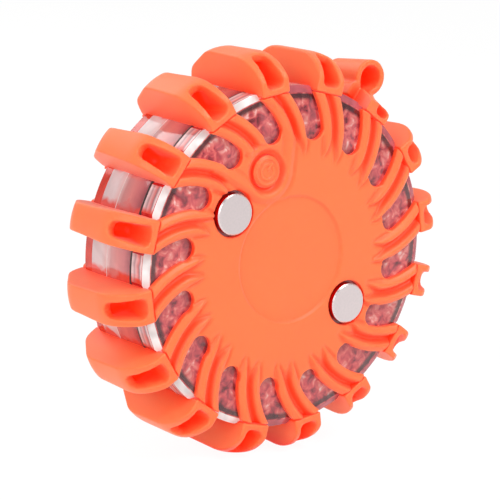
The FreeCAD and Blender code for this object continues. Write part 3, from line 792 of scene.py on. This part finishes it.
button_pad = rod_mesh(button_radius, button_front, 1.5, segments=96)
button = to_object(button_pad, "rubber_power_button")
remelt(button, 0.1)
for vertex in button.data.vertices:
    share = min(1.0, max(0.0, (0.6 - vertex.co.y / mm) / (0.6 - button_front)))
    vertex.co.y -= button_relief(vertex.co.x / mm, vertex.co.z / mm) * share * mm
button.data.transform(Matrix.Translation(button_place * mm))
relax(button, 1)
thin_out(button, 0.6)
smooth_shade(button)
# The button's rubber carries the same painted crease shade (#ff3408) and painted glow.
button.data.materials.append(rubber_material("button_tpe_rubber", ("#f2703a", "#f5783f"), "#ff3408"))
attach(button, "button")
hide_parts("power_button")

# ---------------------------------------------------------------------------
# Clear shells: two polycarbonate mouldings that meet at a dark gasket. The wall
# carries painted reflections of the orange rubber round it: painted red lines at its
# edges and painted pink and mauve patches between clear ones. The front shell has a low
# lug between each pair of fins; its flat ends carry a painted sparkle in place of the faceted reflector behind its
# windows, and painted dark rings of shade.
# ---------------------------------------------------------------------------
gasket_front = 6.4
gasket_back = 7.6
housing_wall = 1.6
glass_front = 0.8
glass_radius = 44.5
inner_radius = 41.8
lug_width = 7.2
lug_rise = 0.35
chamfer_back = 1.7
rear_step = 18.2
painted_rim_light_front = 24.9
painted_rim_light_back = 28.0


def spun_shell(profile, segments):
    """Closed shell spun about the flare's axis from (radius, level) corners."""
    mesh = bmesh.new()
    ring = [mesh.verts.new((radius, y, 0)) for radius, y in profile]
    edges = [mesh.edges.new((ring[step], ring[step + 1])) for step in range(len(ring) - 1)]
    bmesh.ops.spin(mesh, geom=ring + edges, cent=(0, 0, 0), axis=(0, 1, 0), angle=2 * math.pi, steps=segments,
                   use_merge=True)
    bmesh.ops.remove_doubles(mesh, verts=mesh.verts, dist=0.001)
    bmesh.ops.recalc_face_normals(mesh, faces=mesh.faces)
    return mesh


def clear_material(name):
    """Gloss clear polycarbonate with painted light: painted reflections of the rubber in pink, mauve, white and
    red on the wall, a painted sparkle and painted dark rings on the flat ends.
    """
    material = new_material(name)
    place = add_node(material, "ShaderNodeTexCoord")
    axes = add_node(material, "ShaderNodeSeparateXYZ", links={0: place.outputs["Object"]})
    spoke = add_node(material, "ShaderNodeMath", links={0: axes.outputs["Z"], 1: axes.outputs["X"]},
                     operation="ARCTAN2")
    waves = add_node(material, "ShaderNodeMath", {1: 16.0, 2: 0.42}, {0: spoke.outputs[0]},
                     operation="MULTIPLY_ADD")
    # Painted reflection of the rubber: the wall is mixed towards red where it faces a fin, by angle round the
    # axis, with a little noise.
    near_fin = add_node(material, "ShaderNodeMath", links={0: waves.outputs[0]}, operation="COSINE")
    cloud = add_node(material, "ShaderNodeTexNoise", {"Scale": 170.0, "Detail": 2.0, "Distortion": 0.8},
                     {"Vector": place.outputs["Object"]})
    warm = add_node(material, "ShaderNodeMath", {1: -0.42}, {0: near_fin.outputs[0], 2: cloud.outputs["Fac"]},
                    operation="MULTIPLY_ADD")
    wobble = add_node(material, "ShaderNodeMath", {1: 0.0012}, {0: cloud.outputs["Fac"], 2: axes.outputs["Y"]},
                      operation="MULTIPLY_ADD")
    depth = add_node(material, "ShaderNodeMath", {1: 1 / 0.03}, {0: wobble.outputs[0]}, operation="MULTIPLY")
    # Painted reflection bands in white, pink and mauve along the wall's depth.
    bands = add_node(material, "ShaderNodeValToRGB", links={0: depth.outputs[0]})
    ramp = bands.color_ramp
    ramp.elements[0].position = 0.06
    ramp.elements[0].color = linear("#fbf2f3")
    ramp.elements[1].position = 0.9
    ramp.elements[1].color = linear("#e0503c")
    for level, code in ((3.0, "#f2d4d6"), (3.5, "#9c8288"), (4.0, "#e27c7c"), (5.0, "#eebcbc"), (5.6, "#b9979d"),
                        (6.6, "#f3dedf"), (8.4, "#9c4753"), (11.0, "#cf7377"), (14.0, "#e18884"),
                        (17.0, "#d28c8a"), (18.6, "#e4c4c2"), (21.0, "#e2dddf"), (25.8, "#ddd5d7")):
        ramp.elements.new(level / 30).color = linear(code)
    painted_rubber_reflection = add_node(material, "ShaderNodeMapRange", {"From Min": 0.36, "From Max": 0.6, "To Max": 0.92},
                      {"Value": warm.outputs[0]})
    wall = add_node(material, "ShaderNodeMix", {7: linear("#e5402a")},
                    {0: painted_rubber_reflection.outputs[0], 6: bands.outputs["Color"]}, data_type="RGBA")
    sparkle = add_node(material, "ShaderNodeTexNoise", {"Scale": 420.0, "Detail": 2.5, "Distortion": 0.6},
                       {"Vector": place.outputs["Object"]})
    # Painted sparkle on the flat ends: broken maroon, pink and white in place of light from the faceted reflector
    # behind them.
    painted_sparkle_colour = add_node(material, "ShaderNodeValToRGB", links={0: sparkle.outputs["Fac"]})
    ramp = painted_sparkle_colour.color_ramp
    ramp.elements[0].position = 0.28
    ramp.elements[0].color = linear("#6a1f28")
    ramp.elements[1].position = 0.74
    ramp.elements[1].color = linear("#fbdcd6")
    for position, code in ((0.38, "#9c3d47"), (0.46, "#c64c54"), (0.55, "#d96663"), (0.64, "#e68f88")):
        ramp.elements.new(position).color = linear(code)
    squares = add_node(material, "ShaderNodeMath", {1: 2.0}, {0: axes.outputs["X"]}, operation="POWER")
    across = add_node(material, "ShaderNodeMath", {1: 2.0}, {0: axes.outputs["Z"]}, operation="POWER")
    squares = add_node(material, "ShaderNodeMath", links={0: squares.outputs[0], 1: across.outputs[0]},
                       operation="ADD")
    radius = add_node(material, "ShaderNodeMath", {1: 0.5}, {0: squares.outputs[0]}, operation="POWER")
    # Painted shade: dark maroon rings by radius at the windows' inner ends and in a narrow ring near the rim.
    rings = add_node(material, "ShaderNodeMapRange", {"From Min": 0.030, "From Max": 0.045},
                     {"Value": radius.outputs[0]})
    shade = add_node(material, "ShaderNodeValToRGB", links={0: rings.outputs[0]})
    ramp = shade.color_ramp
    ramp.elements[0].position = 0.0
    ramp.elements[0].color = (0.5, 0.5, 0.5, 1.0)
    ramp.elements[1].position = 1.0
    ramp.elements[1].color = (0.0, 0.0, 0.0, 1.0)
    for level, value in ((32.5, 0.35), (34.5, 0.0), (41.0, 0.0), (41.8, 0.9), (42.7, 0.9), (42.9, 0.0)):
        ramp.elements.new((level - 30) / 15).color = (value, value, value, 1.0)
    window = add_node(material, "ShaderNodeMix", {7: linear("#3c1b22")},
                      {0: shade.outputs["Color"], 6: painted_sparkle_colour.outputs["Color"]}, data_type="RGBA")
    way = add_node(material, "ShaderNodeNewGeometry")
    turned = add_node(material, "ShaderNodeSeparateXYZ", links={0: way.outputs["True Normal"]})
    facing = add_node(material, "ShaderNodeMath", links={0: turned.outputs["Y"]}, operation="ABSOLUTE")
    flat = add_node(material, "ShaderNodeMath", {1: 0.9}, {0: facing.outputs[0]}, operation="GREATER_THAN")
    colour = add_node(material, "ShaderNodeMix", links={0: flat.outputs[0], 6: wall.outputs[2],
                                                        7: window.outputs[2]}, data_type="RGBA")
    fresnel = add_node(material, "ShaderNodeFresnel", {"IOR": 1.5})
    cover = add_node(material, "ShaderNodeMapRange", {"From Min": 0.3, "From Max": 0.7, "To Min": 0.78,
                                                      "To Max": 0.92}, {"Value": cloud.outputs["Fac"]})
    alpha = add_node(material, "ShaderNodeMath", links={0: cover.outputs[0], 1: fresnel.outputs[0]},
                     operation="MAXIMUM")
    surface = add_node(material, "ShaderNodeBsdfPrincipled",
                       {"Roughness": 0.12, "IOR": 1.58, "Coat Weight": 0.5, "Coat Roughness": 0.03},
                       {"Base Color": colour.outputs[2], "Alpha": alpha.outputs[0]})
    add_node(material, "ShaderNodeOutputMaterial", links={"Surface": surface.outputs[0]})
    return material


def edge_material(name, code, alpha):
    """Painted line of light on a moulded edge of the clear wall: a flat colour standing in for light the edge
    gathers.
    """
    material = new_material(name)
    place = add_node(material, "ShaderNodeTexCoord")
    noise = add_node(material, "ShaderNodeTexNoise", {"Scale": 300.0, "Detail": 1.0},
                     {"Vector": place.outputs["Object"]})
    strength = add_node(material, "ShaderNodeMapRange", {"From Min": 0.35, "From Max": 0.65,
                                                         "To Min": alpha * 0.75, "To Max": alpha},
                        {"Value": noise.outputs["Fac"]})
    surface = add_node(material, "ShaderNodeBsdfPrincipled",
                       {"Base Color": linear(code), "Roughness": 0.12, "IOR": 1.58, "Coat Weight": 0.5},
                       {"Alpha": strength.outputs[0]})
    add_node(material, "ShaderNodeOutputMaterial", links={"Surface": surface.outputs[0]})
    return material


clear_wall = clear_material("clear_polycarbonate")
# Painted lines of light for the clear shells' edges and rim: red, white, pink, and an orange band.
painted_red_edge_light = edge_material("red_light_in_clear_edge", "#d8161c", 0.9)
painted_white_edge_light = edge_material("white_light_in_clear_edge", "#f7f5f4", 0.9)
painted_pink_edge_light = edge_material("pink_light_in_clear_edge", "#c9606a", 0.9)
painted_orange_rim_light = edge_material("orange_light_in_clear_rim", "#e23a20", 0.92)

shell_segments = 256
front_profile = [
    (0, glass_front), (30.0, glass_front), (glass_radius - 1.4, glass_front), (glass_radius - 0.02, chamfer_back),
    (glass_radius, 1.9), (glass_radius, gasket_front - 0.02), (glass_radius, gasket_front),
    (inner_radius, gasket_front), (inner_radius, 2.3), (30.0, 2.0), (0, 2.0),
]
shell_mesh = spun_shell(front_profile, shell_segments)
lug_half = lug_width / 2
for vertex in shell_mesh.verts:
    radius = math.hypot(vertex.co.x, vertex.co.z)
    if radius < glass_radius - 0.03 or vertex.co.y > gasket_front - 0.01:
        continue
    turn = math.degrees(math.atan2(vertex.co.z, vertex.co.x))
    gap = round(turn / fin_pitch) * fin_pitch
    off = math.radians(turn - gap) * radius
    past = abs(off) - lug_half
    if abs(past) < 0.56:
        off = math.copysign(lug_half + (0.22 if past > 0 else 0.0), off)
        place = polar(radius, gap + math.degrees(off / radius))
        vertex.co.x, vertex.co.z = place.x, place.z
    if past <= 0:
        vertex.co.x *= 1 + lug_rise / radius
        vertex.co.z *= 1 + lug_rise / radius
for face in shell_mesh.faces:
    middle = face.calc_center_median()
    radius = math.hypot(middle.x, middle.z)
    radii = [math.hypot(vertex.co.x, vertex.co.z) for vertex in face.verts]
    # Painted highlight: the chamfer is white on the left side (x < -12 mm) and painted pink elsewhere; painted red
    # light lines go at the chamfer's back and the lugs' edges.
    if glass_radius - 1.3 < radius and glass_front + 0.02 < middle.y < 1.65:
        face.material_index = 2 if middle.x < -12.0 else 3
    elif radius > glass_radius - 0.05 and 1.65 < middle.y < 1.95:
        face.material_index = 1
    elif radius > glass_radius and max(radii) - min(radii) > lug_rise / 2 and middle.y < gasket_front - 0.01:
        face.material_index = 1
front_shell = to_object(shell_mesh, "clear_front_shell")
smooth_shade(front_shell)
front_shell.data.set_sharp_from_angle(angle=math.radians(28))
for material in (clear_wall, painted_red_edge_light, painted_white_edge_light, painted_pink_edge_light):
    front_shell.data.materials.append(material)
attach(front_shell, "puck")
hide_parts("front_housing")

rear_profile = [
    (0, housing_back + 1.3), (14.6, housing_back + 1.3), (15.3, housing_back + 0.9), (15.3, housing_back),
    (glass_radius - edge_chamfer_radial, housing_back), (glass_radius - 0.3, housing_back - 0.35),
    (glass_radius, housing_back - edge_chamfer_axial), (glass_radius, painted_rim_light_front), (glass_radius, rear_step),
    (glass_radius - 0.06, 18.08), (glass_radius, 17.96), (glass_radius, gasket_back),
    (inner_radius, gasket_back), (inner_radius, housing_back - housing_wall),
    (13.7, housing_back - housing_wall), (13.7, housing_back - 0.4), (0, housing_back - 0.4),
]
shell_mesh = spun_shell(rear_profile, shell_segments)
for face in shell_mesh.faces:
    middle = face.calc_center_median()
    radius = math.hypot(middle.x, middle.z)
    # Painted orange rim light round the rear shell, and a painted white highlight line at its step.
    if radius > glass_radius - 0.05 and painted_rim_light_front < middle.y < painted_rim_light_back:
        face.material_index = 1
    elif radius > glass_radius - 0.05 and 17.95 < middle.y < 18.21:
        face.material_index = 2
rear_shell = to_object(shell_mesh, "clear_rear_shell")
smooth_shade(rear_shell)
rear_shell.data.set_sharp_from_angle(angle=math.radians(28))
for material in (clear_wall, painted_orange_rim_light, painted_white_edge_light):
    rear_shell.data.materials.append(material)
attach(rear_shell, "puck")
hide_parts("rear_housing")

# ---------------------------------------------------------------------------
# Gasket: a flat ring of dark rubber between the two clear shells. Its edge is
# the thin dark line round the side of the flare, and it keeps water out.
# ---------------------------------------------------------------------------
gasket_mesh = spun_shell([
    (inner_radius, gasket_front), (glass_radius + 0.05, gasket_front), (glass_radius + 0.12, gasket_front + 0.3),
    (glass_radius + 0.12, gasket_back - 0.3), (glass_radius + 0.05, gasket_back), (inner_radius, gasket_back),
    (inner_radius, gasket_front),
], shell_segments)
gasket_ring = to_object(gasket_mesh, "rubber_gasket_ring")
smooth_shade(gasket_ring)
gasket_ring.data.set_sharp_from_angle(angle=math.radians(40))
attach(gasket_ring, "puck")
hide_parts("housing_gasket")

# ---------------------------------------------------------------------------
# Carried-over pieces: the magnets and everything inside the clear shells keep
# their solids and get materials of their own.
# ---------------------------------------------------------------------------
def surfaced(name, code, other, scale, rough, bump_height=0.0, **sockets):
    """A finish of two tones in soft patches, with a little uneven gloss and grain."""
    material = new_material(name)
    place = add_node(material, "ShaderNodeTexCoord")
    noise = add_node(material, "ShaderNodeTexNoise", {"Scale": scale, "Detail": 3.0},
                     {"Vector": place.outputs["Object"]})
    colour = add_node(material, "ShaderNodeMix", {6: linear(code), 7: linear(other)},
                      {0: noise.outputs["Fac"]}, data_type="RGBA")
    gloss = add_node(material, "ShaderNodeMapRange", {"From Min": 0.3, "From Max": 0.7, "To Min": rough * 0.85,
                                                      "To Max": rough * 1.15}, {"Value": noise.outputs["Fac"]})
    bump = add_node(material, "ShaderNodeBump", {"Strength": 0.3 if bump_height else 0.0,
                                                 "Distance": bump_height or 0.00001},
                    {"Height": noise.outputs["Fac"]})
    settings = {key.replace("_", " ").title().replace("Ior", "IOR"): value for key, value in sockets.items()}
    surface = add_node(material, "ShaderNodeBsdfPrincipled", settings,
                       {"Base Color": colour.outputs[2], "Roughness": gloss.outputs[0],
                        "Normal": bump.outputs[0]})
    add_node(material, "ShaderNodeOutputMaterial", links={"Surface": surface.outputs[0]})
    return material


def nickel_material():
    """Satin nickel plating: a speckled face, and a side coloured with a painted red-orange reflection of the
    rubber round it.
    """
    material = new_material("satin_nickel_plate")
    place = add_node(material, "ShaderNodeTexCoord")
    speckle = add_node(material, "ShaderNodeTexNoise", {"Scale": 1400.0, "Detail": 3.0},
                       {"Vector": place.outputs["Object"]})
    way = add_node(material, "ShaderNodeNewGeometry")
    axes = add_node(material, "ShaderNodeSeparateXYZ", links={0: way.outputs["True Normal"]})
    facing = add_node(material, "ShaderNodeMath", links={0: axes.outputs["Y"]}, operation="ABSOLUTE")
    colour = add_node(material, "ShaderNodeMix", {6: linear("#dcd0d0"), 7: linear("#f3e6e6")},
                      {0: speckle.outputs["Fac"]}, data_type="RGBA")
    flat = add_node(material, "ShaderNodeMath", {1: 0.5}, {0: facing.outputs[0]}, operation="GREATER_THAN")
    # Painted reflection: the magnet's side is coloured red-orange for the rubber it mirrors.
    colour = add_node(material, "ShaderNodeMix", {6: linear("#d8402c")},
                      {0: flat.outputs[0], 7: colour.outputs[2]}, data_type="RGBA")
    face_gloss = add_node(material, "ShaderNodeMapRange", {"From Min": 0.3, "From Max": 0.7, "To Min": 0.3,
                                                           "To Max": 0.5}, {"Value": speckle.outputs["Fac"]})
    gloss = add_node(material, "ShaderNodeMath", links={0: face_gloss.outputs[0], 1: facing.outputs[0]},
                     operation="MULTIPLY")
    gloss = add_node(material, "ShaderNodeMath", {1: 0.25}, {0: gloss.outputs[0]}, operation="MAXIMUM")
    bump = add_node(material, "ShaderNodeBump", {"Strength": 0.25, "Distance": 0.00004},
                    {"Height": speckle.outputs["Fac"]})
    surface = add_node(material, "ShaderNodeBsdfPrincipled", {"Metallic": 1.0},
                       {"Base Color": colour.outputs[2], "Roughness": gloss.outputs[0],
                        "Normal": bump.outputs[0]})
    add_node(material, "ShaderNodeOutputMaterial", links={"Surface": surface.outputs[0]})
    return material


nickel = nickel_material()
dark_rubber = surfaced("dark_gasket_rubber", "#3a2526", "#241517", 900.0, 0.5, 0.00003)
gasket_ring.data.materials.append(dark_rubber)
white_board = surfaced("white_solder_mask", "#e6c9c8", "#d9a9ab", 160.0, 0.35)
black_plastic = surfaced("black_moulded_plastic", "#2a1518", "#180a0d", 700.0, 0.5, 0.00003)
white_plastic = surfaced("white_moulded_plastic", "#e4dfdb", "#d6d0cc", 500.0, 0.45, 0.00002)
red_epoxy = surfaced("clear_red_led_epoxy", "#c3202a", "#a3121c", 250.0, 0.1, coat_weight=0.5)
white_epoxy = surfaced("clear_led_epoxy", "#e9ecef", "#dfe3e8", 250.0, 0.08, coat_weight=0.6)
mirror_metal = surfaced("metallised_reflector", "#e8d3d6", "#c9a4ac", 330.0, 0.16, 0.00004, metallic=1.0)
cell_jacket = surfaced("plain_cell_sleeve", "#8d9094", "#77797e", 200.0, 0.3, metallic=0.5)
contact_steel = surfaced("nickelled_contact_steel", "#c9c6c2", "#b5b1ad", 800.0, 0.28, 0.00003, metallic=1.0)
screw_steel = surfaced("zinc_plated_steel", "#b6b7bb", "#a1a2a8", 800.0, 0.3, 0.00003, metallic=1.0)
for nodes, material in (
    (("magnet_a", "magnet_b"), nickel),
    (("plunger_seal",), dark_rubber),
    (("circuit_board",), white_board),
    (("controller_chip", "switch_body", "switch_stem", "led_resistors", "battery_tray"), black_plastic),
    (("button_plunger",), white_plastic),
    (("edge_leds",), red_epoxy),
    (("work_leds",), white_epoxy),
    (("reflector_ring", "work_reflector"), mirror_metal),
    (("battery_cells",), cell_jacket),
    (("contact_springs", "contact_plates"), contact_steel),
    (("housing_screws",), screw_steel),
):
    for node in nodes:
        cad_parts[node].data.materials.clear()
        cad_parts[node].data.materials.append(material)
